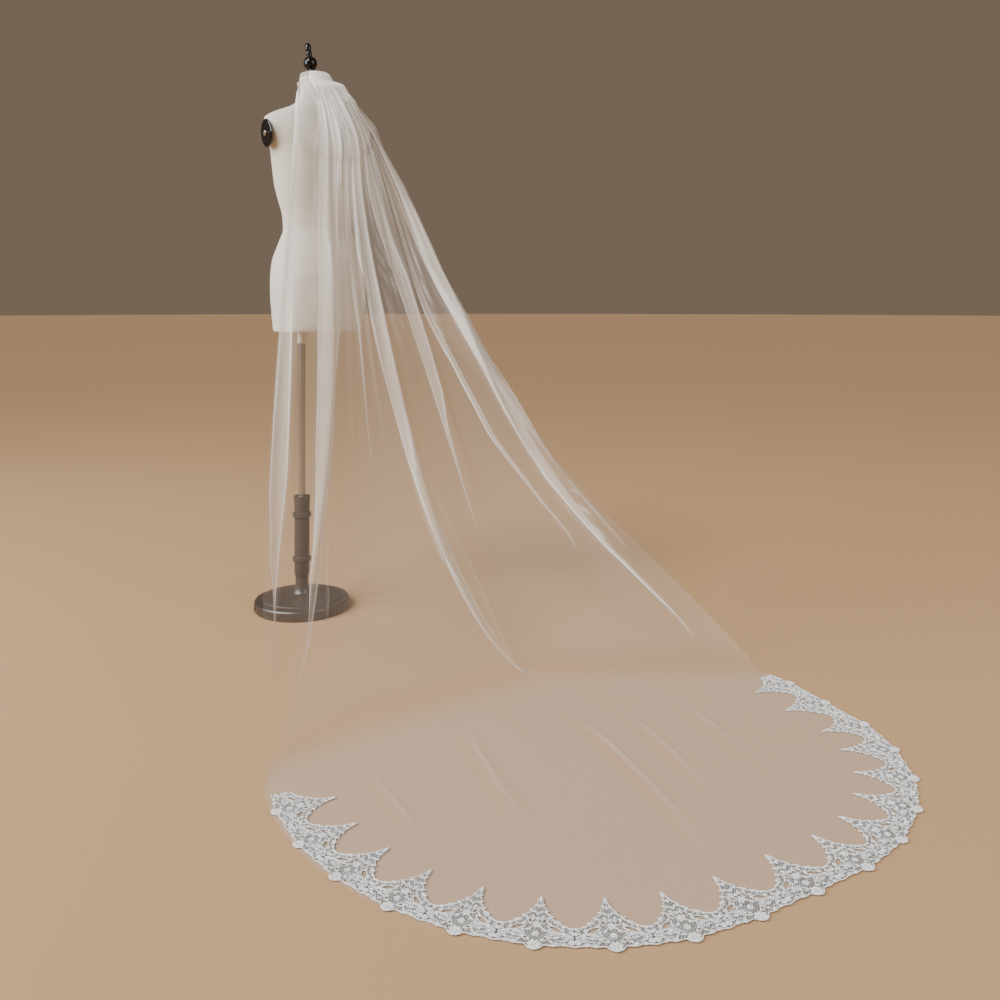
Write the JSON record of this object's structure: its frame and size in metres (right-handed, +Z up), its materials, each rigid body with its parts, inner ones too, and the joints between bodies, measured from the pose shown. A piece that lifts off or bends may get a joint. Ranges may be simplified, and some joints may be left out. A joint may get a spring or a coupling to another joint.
{
  "type": "bridal veil on dress form",
  "caption": "Long sheer bridal veil with a scalloped lace border, gathered at the neck of a limbless dress form on a stand, its train spread on the floor behind.",
  "frame": {"origin": "centre of the stand base's underside, on the floor", "axes": "+Z up; the form faces +Y; the train lies behind the form, towards -Y; +X is the form's right-hand side as seen from behind"},
  "size_m": [1.2542, 1.9084, 1.6697],
  "materials": {
    "form_jersey": "matte",
    "black_lacquer": "gloss",
    "pole_steel": "satin",
    "stand_paint": "satin",
    "collar_plastic": "matte",
    "tulle": "sheer",
    "gathering_band": "satin",
    "corded_lace": "corded"
  },
  "bodies": {
    "root": {"form_torso": "form_jersey", "neck_cap": "black_lacquer", "neck_finial": "black_lacquer", "armhole_plate_left": "black_lacquer", "armhole_plate_right": "black_lacquer", "armhole_boss_left": "pole_steel", "armhole_boss_right": "pole_steel", "form_collar": "collar_plastic", "stand_pole": "pole_steel", "stand_column": "stand_paint", "stand_base": "stand_paint", "veil_band": "gathering_band", "veil_crown": "tulle", "veil_fall_left": "tulle", "veil_fall_middle": "tulle", "veil_fall_right": "tulle", "veil_train": "tulle", "lace_border": "corded_lace"}
  },
  "joints": []
}
